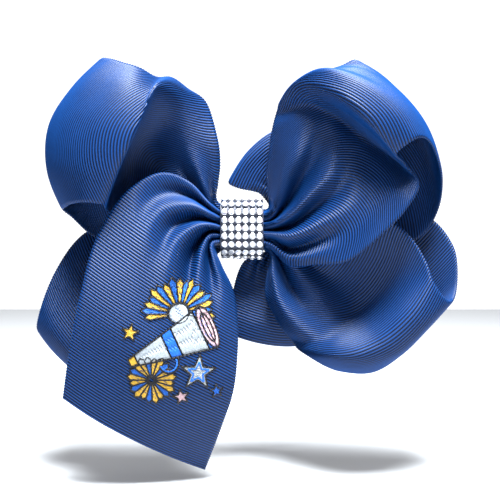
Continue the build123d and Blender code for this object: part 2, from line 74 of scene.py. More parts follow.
UPPER_LEFT = [
    root(-0.6, -19.6, -8.2, 8.2),
    root(-6.0, -19.6, -8.4, 8.4),
    [(-12, -19, -7), (-12, -20, -2), (-12, -20, 3), (-12, -20, 8), (-11, -19, 12)],
    [(-24, -19, -3), (-23, -20, 6), (-20, -23, 13), (-15, -25, 18), (-11, -21, 20)],
    [(-36, -19, 0), (-35, -19, 12), (-29, -22, 22), (-18, -27, 27), (-10, -23, 29)],
    [(-46, -20, 3), (-45, -19, 18), (-38, -20, 31), (-24, -28, 38), (-11, -26, 40)],
    [(-53, -23, 5), (-52, -22, 22), (-44, -22, 38), (-29, -32, 50), (-16, -25, 56)],
    [(-58, -31, 7), (-56, -30, 24), (-48, -32, 41), (-34, -42, 57), (-24, -26, 62)],
    [(-58, -42, 8), (-54, -43, 25), (-46, -46, 41), (-37, -49, 57), (-31, -31, 66)],
    [(-57, -52, 9), (-50, -55, 25), (-44, -55, 39), (-39, -50, 54), (-37, -37, 65)],
    [(-63, -52, 10), (-58, -56, 26), (-53, -56, 42), (-47, -50, 57), (-43, -39, 68)],
    [(-71, -45, 10), (-70, -50, 27), (-66, -50, 44), (-59, -44, 60), (-51, -37, 71)],
    [(-76, -37, 9), (-80, -40, 27), (-78, -40, 45), (-70, -37, 61), (-58, -32, 74)],
    [(-79, -29, 8), (-86, -28, 26), (-85, -28, 45), (-75, -28, 61), (-62, -26, 75)],
    [(-76, -26, 5), (-81, -20, 24), (-79, -18, 42), (-69, -18, 58), (-56, -18, 70)],
    [(-66, -24, -4), (-68, -18, 14), (-65, -16, 31), (-57, -15, 46), (-44, -15, 58)],
    [(-48, -18, -8), (-49, -15.5, 6), (-46, -15, 20), (-40, -15, 32), (-30, -15, 42)],
    [(-31, -16.6, -9), (-31, -16, 0), (-29, -15.6, 9), (-26, -15.4, 18), (-22, -15.4, 26)],
    [(-20, -16.6, -9), (-20, -16.2, -2), (-19.5, -16, 5), (-18, -16, 11), (-15.5, -16, 16)],
    root(-12.0, -16.8, -8.6, 8.8),
    root(-6.0, -16.8, -8.4, 8.4),
    root(-0.6, -16.8, -8.2, 8.2),
]
LOWER_LEFT = [
    root(-0.6, -14.2, 8.0, -8.0),
    root(-6.0, -14.2, 8.2, -8.2),
    [(-12, -14, 7), (-12, -14, 2), (-12, -14, -2), (-12, -14, -7), (-11, -14, -11)],
    [(-32, -13.4, 5), (-30, -13.6, -5), (-27, -15, -15), (-22, -15, -24), (-15, -15, -32)],
    [(-54, -13.5, 4), (-50, -15.5, -11), (-43, -18, -26), (-33, -19, -40), (-20, -18, -51)],
    [(-73, -18, -3), (-67, -23, -19), (-57, -27, -36), (-44, -27, -52), (-28, -25, -65)],
    [(-84, -24, -20), (-77, -28, -34), (-65, -31, -50), (-50, -31, -65), (-32, -28, -76)],
    [(-90, -24, -35), (-83, -28, -47), (-70, -30, -61), (-53, -29, -74), (-34, -27, -83)],
    [(-93, -19, -46), (-84, -20, -57), (-70, -20, -69), (-53, -20, -80), (-35, -19, -88)],
    [(-88, -13, -43), (-80, -12, -54), (-66, -11, -65), (-50, -11, -75), (-32, -12, -82)],
    [(-74, -10, -28), (-66, -10, -39), (-54, -10, -50), (-40, -10, -59), (-25, -10, -67)],
    [(-54, -10, -11), (-48, -10, -22), (-39, -10, -33), (-29, -10, -43), (-18, -10, -50)],
    [(-30, -10.6, 2), (-28, -10.6, -6), (-24, -10.6, -14), (-19, -10.6, -22), (-13, -10.8, -28)],
    root(-12.0, -11.5, 7.5, -8.6),
    root(-6.0, -11.6, 7.6, -8.4),
    root(-0.6, -11.6, 7.6, -8.4),
]
UPPER_RIGHT = [
    root(0.6, -22.3, -7.2, 7.2),
    root(6.0, -22.4, -7.3, 7.3),
    [(12, -23.5, -8.5), (12.5, -24, -4), (12.5, -24, 0), (12.5, -24, 4.5), (11.5, -23, 8.5)],
    [(20, -27, -16), (21, -29, -5), (20, -28, 7), (16, -26, 14), (11.5, -23, 17)],
    [(33, -35, -16), (36, -36, -3), (31, -33, 13), (20, -29, 23), (11, -23, 26)],
    [(46, -42, -14), (49, -41, 2), (41, -36, 20), (25, -32, 32), (12, -23, 34)],
    [(58, -46, -4), (58, -42, 12), (47, -35, 28), (29, -33, 40), (13, -23, 41)],
    [(68, -47, 6), (64, -42, 20), (51, -32, 35), (32, -33, 47), (14, -23, 46)],
    [(75, -44, 17), (66, -36, 29), (51, -29, 42), (32, -31, 53), (15, -22, 50)],
    [(70, -42, 26), (59, -40, 38), (44, -36, 50), (26, -34, 58), (16, -22, 53)],
    [(64, -52, 30), (53, -54, 43), (39, -49, 56), (25, -37, 63), (18, -23, 57)],
    [(70, -54, 35), (60, -54, 48), (47, -50, 60), (33, -41, 67), (26, -27, 63)],
    [(76, -49, 37), (68, -48, 50), (57, -43, 61), (43, -37, 68), (35, -29, 68)],
    [(82, -42, 33), (77, -39, 47), (67, -35, 60), (54, -32, 69), (44, -27, 72)],
    [(88, -31, 22), (84, -29, 38), (75, -27, 53), (64, -26, 66), (51, -25, 75)],
    [(89, -22, 10), (86, -20, 27), (77, -20, 43), (65, -20, 57), (51, -20, 68)],
    [(79, -21, -5), (76, -19, 10), (68, -18, 26), (56, -18, 40), (42, -18, 50)],
    [(55, -20, -8), (54, -18.4, 4), (49, -17.6, 16), (42, -17.6, 26), (32, -17.6, 34)],
    [(30, -18, -9), (30, -17.4, -2), (29, -17.2, 6), (26, -17.2, 13), (22, -17.2, 20)],
    root(12.0, -17.3, -8.6, 9.0),
    root(6.0, -17.2, -8.2, 8.2),
    root(0.6, -17.2, -8.2, 8.2),
]
LOWER_RIGHT = [
    root(0.6, -19.8, 8.0, -8.0),
    root(6.0, -19.8, 8.2, -8.2),
    [(12, -20, 5), (12, -20, 1), (12, -20, -4), (12, -20, -8), (12, -19, -11)],
    [(26, -22, 4), (26, -22, -6), (22, -23, -14), (16, -24, -20), (11, -21, -23)],
    [(40, -26, 4), (39, -24, -10), (32, -23, -21), (20, -27, -30), (11, -21, -32)],
    [(54, -31, 3), (51, -25, -12), (40, -23, -26), (25, -30, -38), (14.5, -21, -39)],
    [(66, -35, 2), (61, -27, -14), (48, -22, -30), (30, -31, -44), (18, -22, -45)],
    [(74, -38, -6), (66, -30, -22), (52, -24, -37), (35, -32, -49), (22, -22, -50)],
    [(79, -40, -15), (69, -36, -29), (55, -32, -42), (39, -37, -52), (25, -25, -54)],
    [(82, -41, -24), (72, -44, -36), (59, -43, -48), (44, -41, -55), (30, -29, -57)],
    [(88, -37, -31), (78, -41, -42), (65, -41, -54), (50, -38, -60), (37, -29, -61)],
    [(93, -30, -32), (82, -33, -43), (70, -33, -55), (57, -32, -63), (43, -27, -63)],
    [(97, -22, -26), (86, -22, -38), (73, -23, -51), (60, -24, -61), (46, -24, -60)],
    [(97, -16, -8), (85, -15, -20), (71, -17, -33), (57, -19, -43), (43, -20, -47)],
    [(80, -14, 8), (68, -14, -4), (55, -15, -16), (43, -17, -27), (31, -18, -33)],
    [(50, -14, 6), (45, -14.4, -3), (38, -14.8, -12), (31, -15.4, -19), (22, -16, -24)],
    [(27, -14, 5), (26, -14.4, 0), (24, -14.4, -5), (21, -14.6, -11), (16, -14.8, -16)],
    root(12.0, -14.8, 7.0, -9.4),
    root(6.0, -14.7, 8.0, -8.4),
    root(0.6, -14.7, 8.0, -8.4),
]
REAR_UPPER = [
    root(0.6, -12.2, 7.8, 1.0),
    root(6.0, -12.2, 8.0, 1.0),
    [(12, -12, 8), (12.5, -12, 6.5), (13, -12, 5), (13, -12, 3), (13, -12, 0)],
    [(9.5, -12, 16), (14, -13, 20), (20, -13, 18), (25, -13, 12), (28, -12, 4)],
    [(-2, -13, 19), (6, -14, 28), (18, -14, 31), (30, -14, 26), (38, -13, 15)],
    [(-6, -13, 21), (3, -14, 34), (16, -14, 42), (33, -14, 40), (45, -13, 27)],
    [(-6, -11, 22), (4, -12, 37), (17, -12, 46), (34, -12, 44), (48, -11, 31)],
    [(-3, -9, 20), (5, -9, 33), (16, -9, 41), (32, -9, 39), (45, -9, 27)],
    [(8, -9, 17), (13, -9, 22), (20, -9, 22), (27, -9, 18), (33, -9, 10)],
    [(12, -9.2, 8), (12.5, -9.2, 6.5), (13, -9.2, 5), (13, -9.2, 3), (13, -9.2, 0)],
    root(6.0, -9.4, 7.4, 1.0),
    root(0.6, -9.4, 7.2, 1.0),
]
REAR_LOWER = [
    root(0.6, -12.2, -7.8, -1.0),
    root(6.0, -12.2, -8.0, -1.0),
    [(11, -12, -10.5), (12.5, -12, -8), (13, -12, -6), (14, -12, -4), (14, -12, -1)],
    [(1, -12, -15), (9, -13, -18), (19, -13, -19), (24, -13, -15), (28, -12, -10)],
    [(-4, -13, -28), (8, -14, -32), (20, -15, -33), (30, -14, -29), (38, -13, -22)],
    [(-5, -14, -41), (8, -15, -45), (22, -16, -46), (35, -15, -42), (46, -13, -34)],
    [(-8, -12, -48), (9, -12, -53), (25, -12, -54), (40, -12, -50), (53, -11, -42)],
    [(-5, -9, -44), (9, -9, -48), (24, -9, -49), (37, -9, -45), (49, -9, -38)],
    [(4, -9, -27), (12, -9, -30), (21, -9, -30), (30, -9, -27), (38, -9, -21)],
    [(12, -9.2, -9), (12.5, -9.2, -7.5), (13, -9.2, -6), (14, -9.2, -4), (14, -9.2, -1)],
    root(6.0, -9.4, -7.4, -1.0),
    root(0.6, -9.4, -7.2, -1.0),
]
# pleats: (place across the ribbon 0..1, half width, height towards the viewer in mm, reach in mm)
TAIL_PLEATS = [
    (0.05, 0.035, 3.0, 30), (0.14, 0.05, -7.5, 50), (0.27, 0.06, 5.4, 58), (0.385, 0.04, -6.6, 46),
    (0.50, 0.06, 6.0, 66), (0.63, 0.045, -8.0, 60), (0.72, 0.045, 6.0, 50), (0.80, 0.035, -6.0, 40),
    (0.91, 0.05, 5.0, 60),
]
UPPER_RIGHT_PLEATS = [
    (0.08, 0.045, 3.6, 44), (0.20, 0.045, -6.0, 46), (0.33, 0.06, 5.0, 60), (0.46, 0.045, -7.0, 60),
    (0.57, 0.055, 5.6, 64), (0.69, 0.05, -8.5, 72), (0.84, 0.06, 4.4, 60),
]
LOWER_RIGHT_PLEATS = [
    (0.15, 0.04, -3.0, 36), (0.30, 0.05, 2.8, 44), (0.44, 0.04, -4.6, 50), (0.58, 0.05, 4.4, 56),
    (0.73, 0.05, -6.5, 62), (0.87, 0.05, 4.0, 56),
]
UPPER_LEFT_PLEATS = [
    (0.30, 0.05, -2.4, 34), (0.48, 0.06, 2.4, 40), (0.63, 0.05, -3.4, 42), (0.76, 0.05, 2.6, 44),
    (0.88, 0.04, -2.6, 36),
]
LOWER_LEFT_PLEATS = [
    (0.12, 0.05, -2.2, 60), (0.30, 0.07, 2.2, 70), (0.50, 0.05, -2.6, 80), (0.70, 0.06, 2.4, 60),
    (0.88, 0.05, -2.2, 50),
]
REAR_PLEATS = [(0.25, 0.05, 1.0, 30), (0.50, 0.05, -1.2, 40), (0.75, 0.05, 1.0, 30)]


def tangents(P, u):
    """Three-point slopes of P along its first axis."""
    shape = (-1,) + (1,) * (P.ndim - 1)
    h = np.diff(u).reshape(shape)
    d = np.diff(P, axis=0) / h
    m = np.empty_like(P)
    m[1:-1] = (d[:-1] * h[1:] + d[1:] * h[:-1]) / (h[:-1] + h[1:])
    m[0] = 1.5 * d[0] - 0.5 * m[1]
    m[-1] = 1.5 * d[-1] - 0.5 * m[-2]
    return m


def resample(P, u, q):
    """Cubic through P at u, read at q, along the first axis."""
    m = tangents(P, u)
    i = np.clip(np.searchsorted(u, q, side="right") - 1, 0, len(u) - 2)
    shape = (-1,) + (1,) * (P.ndim - 1)
    h = (u[i + 1] - u[i]).reshape(shape)
    t = ((q - u[i]) / (u[i + 1] - u[i])).reshape(shape)
    t2, t3 = t * t, t * t * t
    return ((2 * t3 - 3 * t2 + 1) * P[i] + (t3 - 2 * t2 + t) * h * m[i]
            + (3 * t2 - 2 * t3) * P[i + 1] + (t3 - t2) * h * m[i + 1])


def lengths(P, axis=0):
    """Running length of P along an axis."""
    d = np.linalg.norm(np.diff(P, axis=axis), axis=-1)
    c = np.cumsum(d, axis=axis)
    pad = [(0, 0)] * c.ndim
    pad[axis] = (1, 0)
    return np.pad(c, pad)


def ribbon_surface(rows, pleats, ref, gather, ends):
    """Dense rows x columns points of a ribbon, and how far along it each point lies from row ref."""
    net = np.array(rows, float)
    n = len(net)
    # across: equal spacing along every row
    fine = resample(net.transpose(1, 0, 2), np.linspace(0, 1, 5), np.linspace(0, 1, 161))
    run = lengths(fine, 0)
    cols = np.empty((COLS, n, 3))
    for i in range(n):
        at = np.linspace(0, run[-1, i], COLS)
        for k in range(3):
            cols[:, i, k] = np.interp(at, run[:, i], fine[:, i, k])
    P = cols.transpose(1, 0, 2)
    # along: cubic over the mean spacing of the rows
    step = np.linalg.norm(np.diff(P, axis=0), axis=2).mean(axis=1)
    u = np.concatenate([[0], np.cumsum(step)])
    q = np.linspace(0, u[-1], 900)
    D = resample(P, u, q)
    # pleats spring from the knot on the front wall
    run = lengths(D, 0)
    w = np.linspace(0, 1, COLS)
    start = np.array([np.argmax(np.abs(D[:, j, 0]) > KNOT_X) for j in range(COLS)])
    from_knot = run - run[start, np.arange(COLS)][None, :]
    for place, half, high, reach in pleats:
        t = np.clip((from_knot + 3) / reach, 0, 1)
        grow = np.minimum(1, t * reach / 9) * (1 - t * t) ** 1.5
        wide = half * (1 + 0.5 * t)
        D[:, :, 1] -= high * np.exp(-((w[None, :] - place) / wide) ** 2) * grow
    # small gathers on every wall, in the knot and just outside it
    for near in (run, run[-1][None, :] - run)[:ends]:
        t = np.clip((near - 8) / 26, 0, 1)
        grow = np.where(near < 9, 0.8, 0.8 + 3.2 * t * (1 - t)) * (1 - t) ** 1.5
        grow[near > 34] = 0
        D[:, :, 1] += gather * np.sin(2 * np.pi * 7.3 * w + 0.9)[None, :] * grow
    run = lengths(D, 0)
    k = int(np.argmin(np.abs(q - u[ref])))
    return D, run - run[k][None, :]


def normals_of(G):
    """Unit normals of a grid of points."""
    du = np.gradient(G, axis=0)
    dv = np.gradient(G, axis=1)
    nrm = np.cross(du, dv)
    return nrm / np.maximum(np.linalg.norm(nrm, axis=2, keepdims=True), 1e-9)


def rib_grid(rows, pleats, ref, gather, ends):
    """The ribbon as rows that follow its ribs, one row for each quarter of a rib."""
    D, S = ribbon_surface(rows, pleats, ref, gather, ends)
    ds = RIB / PER_RIB
    k0, k1 = int(math.ceil(S.min() / ds)), int(math.floor(S.max() / ds))
    s = np.arange(k0, k1 + 1) * ds
    G = np.empty((len(s), COLS, 3))
    for j in range(COLS):
        for k in range(3):
            G[:, j, k] = np.interp(s, S[:, j], D[:, j, k])
    ok = (s[:, None] >= S[0][None, :] - 1e-6) & (s[:, None] <= S[-1][None, :] + 1e-6)
    return G, ok, s


def add_uv(mesh, uv):
    """Gives the mesh a UV map with one place for each vertex."""
    layer = mesh.uv_layers.new(name="ribbon")
    loops = np.empty(len(mesh.loops), dtype=np.int64)
    mesh.loops.foreach_get("vertex_index", loops)
    layer.data.foreach_set("uv", uv[loops].astype(np.float32).ravel())


def make_mesh(name, verts, faces, uv=None):
    """A smooth-shaded object from vertices in millimetres and faces of four corners."""
    mesh = bpy.data.meshes.new(name)
    faces = np.asarray(faces, dtype=np.int32)
    mesh.vertices.add(len(verts))
    mesh.vertices.foreach_set("co", (np.asarray(verts) * MM).astype(np.float32).ravel())
    mesh.loops.add(faces.size)
    mesh.loops.foreach_set("vertex_index", faces.ravel())
    mesh.polygons.add(len(faces))
    mesh.polygons.foreach_set("loop_start", np.arange(0, faces.size, faces.shape[1], dtype=np.int32))
    mesh.update(calc_edges=True)
    mesh.validate()
    if uv is not None:
        add_uv(mesh, uv)
    mesh.polygons.foreach_set("use_smooth", np.ones(len(mesh.polygons), dtype=bool))
    obj = bpy.data.objects.new(name, mesh)
    bpy.context.scene.collection.objects.link(obj)
    return obj


def ribbon_object(name, rows, pleats, ref, gather, ends):
    """A ribbed, two-sided ribbon with beaded selvedges, as one closed sheet.

    Also gives its middle surface, the ribs' places along it, and its mean length in millimetres."""
    G, ok, s = rib_grid(rows, pleats, ref, gather, ends)
    N = normals_of(G)
    w = np.linspace(-WIDTH / 2, WIDTH / 2, COLS)
    wave = 0.5 - 0.5 * np.cos(2 * np.pi * s / RIB)
    edge = np.clip((WIDTH / 2 - np.abs(w)) / 1.3, 0.35, 1)
    high = (CLOTH / 2 - 0.10 + RIB_HIGH * wave[:, None] * edge[None, :])[:, :, None]
    # the ribs loop round each selvedge as small beads
    out = np.zeros_like(G)
    for j, inner in ((0, 1), (COLS - 1, COLS - 2)):
        away = G[:, j] - G[:, inner]
        away /= np.maximum(np.linalg.norm(away, axis=1, keepdims=True), 1e-9)
        out[:, j] = away * (0.26 * wave[:, None])
    top, bottom = G + N * high + out, G - N * high + out
    n, m = len(s), COLS
    index = np.arange(n * m).reshape(n, m)
    quad_ok = ok[:-1, :-1] & ok[1:, :-1] & ok[:-1, 1:] & ok[1:, 1:]
    a, b, c, d = index[:-1, :-1], index[1:, :-1], index[1:, 1:], index[:-1, 1:]
    t_faces = np.stack([a, b, c, d], axis=2)[quad_ok]
    b_faces = t_faces[:, ::-1] + n * m
    # close the border of the kept quads
    edges = np.concatenate([t_faces[:, [k, (k + 1) % 4]] for k in range(4)])
    key = edges[:, 0].astype(np.int64) * (n * m) + edges[:, 1]
    twin = edges[:, 1].astype(np.int64) * (n * m) + edges[:, 0]
    border = edges[~np.isin(key, twin)]
    side = np.stack([border[:, 1], border[:, 0], border[:, 0] + n * m, border[:, 1] + n * m], axis=1)
    faces = np.concatenate([t_faces, b_faces, side])
    verts = np.concatenate([top.reshape(-1, 3), bottom.reshape(-1, 3)])
    uu, vv = np.meshgrid(w / WIDTH + 0.5, s / WIDTH, indexing="xy")
    uv = np.concatenate([np.stack([uu, vv], axis=2).reshape(-1, 2)] * 2)
    used = np.unique(faces)
    remap = np.zeros(len(verts), dtype=np.int64)
    remap[used] = np.arange(len(used))
    obj = make_mesh(name, verts[used], remap[faces], uv[used])
    long_mm = float(quad_ok.sum()) * (RIB / PER_RIB) / (COLS - 1)
    return obj, G, s, long_mm


# ------------------------------------------------------------------------------------------
# materials
# ------------------------------------------------------------------------------------------
def new_material(name, color, rough=0.5, metal=0.0, spec=0.5, coat=0.0):
    """A material of one colour: gives it, its node tree and its shader."""
    mat = bpy.data.materials.new(name)
    mat.use_nodes = True
    p = mat.node_tree.nodes["Principled BSDF"]
    p.inputs["Base Color"].default_value = (*color, 1)
    p.inputs["Roughness"].default_value = rough
    p.inputs["Metallic"].default_value = metal
    p.inputs["Specular IOR Level"].default_value = spec
    p.inputs["Coat Weight"].default_value = coat
    return mat, mat.node_tree, p


def grosgrain(name, color, bright):
    """Ribbed weave: painted highlights on the rib tops, painted shade in the valleys, fine warp lines
    across each rib.
    """
    mat, tree, p = new_material(name, color, rough=0.42, spec=0.20)
    node, link = tree.nodes.new, tree.links.new
    uv = node("ShaderNodeUVMap")
    uv.uv_map = "ribbon"
    split = node("ShaderNodeSeparateXYZ")
    link(uv.outputs["UV"], split.inputs[0])

    def maths(op, *values):
        n = node("ShaderNodeMath")
        n.operation = op
        for k, v in enumerate(values):
            if isinstance(v, (int, float)):
                n.inputs[k].default_value = v
            else:
                link(v, n.inputs[k])
        return n.outputs[0]

    def wave(axis, pitch):
        """0 in each valley and 1 on each top, over the UV map's place along an axis."""
        turns = maths("MULTIPLY", split.outputs[axis], 2 * math.pi * WIDTH / pitch)
        return maths("MULTIPLY_ADD", maths("COSINE", turns), -0.5, 0.5)

    rib = wave("Y", RIB)
    warp = wave("X", WARP)
    noise = node("ShaderNodeTexNoise")
    noise.inputs["Scale"].default_value = 9.0
    noise.inputs["Detail"].default_value = 3.0
    link(uv.outputs["UV"], noise.inputs["Vector"])
    # painted light: the rib valleys get the colour darkened as painted shade, the rib tops get the bright
    # colour as a painted highlight
    ramp = node("ShaderNodeMix")
    ramp.data_type = "RGBA"
    ramp.inputs[6].default_value = (color[0] * 0.15, color[1] * 0.15, color[2] * 0.2, 1)
    ramp.inputs[7].default_value = (*bright, 1)
    # painted rib light, varied a little by the real warp lines and random tone
    rib_light_and_weave_tone = maths("MULTIPLY", rib, maths("MULTIPLY_ADD", warp, 0.12, 0.88))
    rib_light_and_weave_tone = maths("MULTIPLY", rib_light_and_weave_tone, maths("MULTIPLY_ADD", noise.outputs["Fac"], 0.25, 0.87))
    link(rib_light_and_weave_tone, ramp.inputs[0])
    link(ramp.outputs[2], p.inputs["Base Color"])
    bump = node("ShaderNodeBump")
    bump.inputs["Strength"].default_value = 0.25
    bump.inputs["Distance"].default_value = 0.00008
    link(warp, bump.inputs["Height"])
    link(bump.outputs[0], p.inputs["Normal"])
    return mat


# the second colour is the painted highlight of the rib tops; the valleys get painted shade
ribbon_mat = grosgrain("navy_grosgrain", (0.0006, 0.006, 0.034), (0.0030, 0.038, 0.165))


def thread_material(name, color):
    """Glossy thread, lighter and darker in small spots."""
    mat, tree, p = new_material(name, color, rough=0.38, spec=0.3)
    noise = tree.nodes.new("ShaderNodeTexNoise")
    noise.inputs["Scale"].default_value = 900.0
    noise.inputs["Detail"].default_value = 2.0
    coord = tree.nodes.new("ShaderNodeTexCoord")
    tree.links.new(coord.outputs["Object"], noise.inputs["Vector"])
    mix = tree.nodes.new("ShaderNodeMix")
    mix.data_type = "RGBA"
    mix.inputs[6].default_value = (*[c * 0.72 for c in color], 1)
    mix.inputs[7].default_value = (*[min(1, c * 1.12) for c in color], 1)
    tree.links.new(noise.outputs["Fac"], mix.inputs[0])
    tree.links.new(mix.outputs[2], p.inputs["Base Color"])
    return mat


# ------------------------------------------------------------------------------------------
# ribbons
# ------------------------------------------------------------------------------------------
# (node, rows, pleats, the row that the ribs are counted from)
middle = {}
for name, rows, pleats, ref in (
    ("front_tail", TAIL, TAIL_PLEATS, len(TAIL) - 1),
    ("upper_left_loop", UPPER_LEFT, UPPER_LEFT_PLEATS, 13),
    ("lower_left_loop", LOWER_LEFT, LOWER_LEFT_PLEATS, 8),
    ("upper_right_loop", UPPER_RIGHT, UPPER_RIGHT_PLEATS, 15),
    ("lower_right_loop", LOWER_RIGHT, LOWER_RIGHT_PLEATS, 12),
    ("rear_upper_loop", REAR_UPPER, REAR_PLEATS, 6),
    ("rear_lower_loop", REAR_LOWER, REAR_PLEATS, 6),
):
    gather = REAR_GATHER if "rear" in name else GATHER
    ends = 1 if name == "front_tail" else 2
    obj, middle[name], s, long_mm = ribbon_object(name + "_cloth", rows, pleats, ref, gather, ends)
    obj.data.materials.append(ribbon_mat)
    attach(obj, "bow")
    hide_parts(name)
    print(name, "rows", len(s), "long", round(long_mm, 1), "faces", len(obj.data.polygons))

# ------------------------------------------------------------------------------------------
# embroidery: a generic cheer motif in satin stitches, laid over the tail's face
# ------------------------------------------------------------------------------------------
STITCH_GAP = 0.40        # between neighbouring threads, mm
THREAD_R = 0.24
THREAD_SHADE = 0.8       # the thread's colours are this share of the ones listed
MOTIF = (-28.0, -46.0)   # middle of the motif, x and z in mm


def face_tree(G):
    """A ribbon's middle surface, every fourth row of it, to lay things on."""
    A = G[::4]
    n, m = A.shape[:2]
    idx = np.arange(n * m).reshape(n, m)
    quads = np.stack([idx[:-1, :-1], idx[1:, :-1], idx[1:, 1:], idx[:-1, 1:]], axis=2).reshape(-1, 4)
    points = [Vector(p) for p in A.reshape(-1, 3)]
    return BVHTree.FromPolygons(points, [tuple(q) for q in quads.tolist()])


tail_tree = face_tree(middle["front_tail"])


def on_tail(x, z):
    """Point of the tail's face seen straight from the front, and its outward normal."""
    hit, normal, _, _ = tail_tree.ray_cast(Vector((x, -150, z)), Vector((0, 1, 0)))
    if hit is None:
        return None, None
    if normal.y > 0:
        normal = -normal
    return hit, normal


threads = {"verts": [], "faces": [], "paint": []}
GOLD, BLUE, SILVER, PINK, WHITE, BLACK = range(6)


def stitch(a, b, paint, lift, arch=0.16, radius=THREAD_R):
    """One thread from a to b (motif millimetres), a flattened rod that arches over the cloth."""
    rings = []
    for t in (0.0, 0.3, 0.7, 1.0):
        x = MOTIF[0] + a[0] + (b[0] - a[0]) * t
        z = MOTIF[1] + a[1] + (b[1] - a[1]) * t
        hit, normal = on_tail(x, z)
        if hit is None:
            return
        rings.append((hit + normal * (0.42 + lift + arch * math.sin(math.pi * t)), normal))
    first = len(threads["verts"])
    along = (rings[-1][0] - rings[0][0]).normalized()
    for centre, normal in rings:
        side = normal.cross(along).normalized() * radius
        up = normal * radius * 0.7
        threads["verts"] += [centre - side, centre + up, centre + side, centre - up]
    for k in range(3):
        for j in range(4):
            p, q = first + 4 * k + j, first + 4 * k + (j + 1) % 4
            threads["faces"].append((p, q, q + 4, p + 4))
            threads["paint"].append(paint)
    for ring in (first, first + 12):
        order = (0, 3, 2, 1) if ring == first else (0, 1, 2, 3)
        threads["faces"].append(tuple(ring + j for j in order))
        threads["paint"].append(paint)


def fill(shape, angle, paint, lift=0.0, longest=4.2, gap=STITCH_GAP):
    """Fills a polygon with rows of parallel stitches at an angle in degrees."""
    c, s = math.cos(math.radians(angle)), math.sin(math.radians(angle))
    turned = [(x * c + y * s, -x * s + y * c) for x, y in shape]
    low, high = min(p[1] for p in turned), max(p[1] for p in turned)
    row = 0
    v = low + gap / 2
    while v < high:
        cuts = []
        for (x0, y0), (x1, y1) in zip(turned, turned[1:] + turned[:1]):
            if (y0 > v) != (y1 > v):
                cuts.append(x0 + (x1 - x0) * (v - y0) / (y1 - y0))
        cuts.sort()
        for u0, u1 in zip(cuts[::2], cuts[1::2]):
            if u1 - u0 < 0.3:
                continue
            parts = max(1, math.ceil((u1 - u0) / longest))
            ends = [u0]
            for k in range(1, parts):
                ends.append(u0 + (u1 - u0) * (k + (0.18, -0.12, 0.05)[row % 3]) / parts)
            ends.append(u1)
            for p, q in zip(ends, ends[1:]):
                stitch((p * c - v * s, p * s + v * c), (q * c - v * s, q * s + v * c), paint, lift)
        v += gap
        row += 1


def outline(shape, paint=BLACK, lift=0.24, closed=True, length=1.7):
    """Running stitches, doubled, along the edge of a shape."""
    points = shape + shape[:1] if closed else shape
    for (x0, y0), (x1, y1) in zip(points, points[1:]):
        d = math.hypot(x1 - x0, y1 - y0)
        if d < 0.05:
            continue
        parts = max(1, round(d / length))
        nx, ny = -(y1 - y0) / d * 0.13, (x1 - x0) / d * 0.13
        for k in range(parts):
            for side in (-1, 1):
                stitch((x0 + (x1 - x0) * k / parts + nx * side, y0 + (y1 - y0) * k / parts + ny * side),
                       (x0 + (x1 - x0) * (k + 1) / parts + nx * side,
                        y0 + (y1 - y0) * (k + 1) / parts + ny * side), paint, lift, 0.1, 0.22)


def star(x, y, r, turn, inner=0.42):
    """Corners of a five-pointed star, turned by turn degrees."""
    out = []
    for k in range(10):
        a = math.radians(turn + 36 * k)
        q = r if k % 2 == 0 else r * inner
        out.append((x + q * math.cos(a), y + q * math.sin(a)))
    return out


def arc(x, y, rx, ry, a0, a1, steps, turn=0.0):
    """Points of an ellipse from angle a0 to a1, the whole turned by turn degrees."""
    out = []
    c, s = math.cos(math.radians(turn)), math.sin(math.radians(turn))
    for k in range(steps + 1):
        a = math.radians(a0 + (a1 - a0) * k / steps)
        u, v = rx * math.cos(a), ry * math.sin(a)
        out.append((x + u * c - v * s, y + u * s + v * c))
    return out


def pompom(x, y, r_in, r_out, a0, a1, strands, paints):
    """Strands of a pom-pom, each a wedge that ends in a point, in turn in each colour."""
    step = (a1 - a0) / strands
    for k in range(strands):
        lo, hi = math.radians(a0 + step * k), math.radians(a0 + step * (k + 1))
        mid = (lo + hi) / 2
        tip = r_out * (1.0, 0.9, 0.96)[k % 3]
        wedge = [(x + r_in * math.cos(lo), y + r_in * math.sin(lo)),
                 (x + tip * 0.86 * math.cos(lo), y + tip * 0.86 * math.sin(lo)),
                 (x + tip * math.cos(mid), y + tip * math.sin(mid)),
                 (x + tip * 0.86 * math.cos(hi), y + tip * 0.86 * math.sin(hi)),
                 (x + r_in * math.cos(hi), y + r_in * math.sin(hi))]
        fill(wedge, math.degrees(mid), paints[k % len(paints)])
        outline(wedge, length=1.9)


HORN_START = (-15.5, -9.5)
HORN_END = (13.5, 3.5)
HORN_NARROW, HORN_FLARE = 2.4, 7.2


def along_horn(t, across):
    """A point of the megaphone: t along it from the mouthpiece, across in mm."""
    (ax, ay), (bx, by) = HORN_START, HORN_END
    d = math.hypot(bx - ax, by - ay)
    return (ax + (bx - ax) * t - (by - ay) / d * across, ay + (by - ay) * t + (bx - ax) / d * across)


def horn_band(t0, t1):
    """The part of the megaphone from t0 to t1."""
    w0, w1 = HORN_NARROW + HORN_FLARE * t0, HORN_NARROW + HORN_FLARE * t1
    return [along_horn(t0, -w0), along_horn(t1, -w1), along_horn(t1, w1), along_horn(t0, w0)]


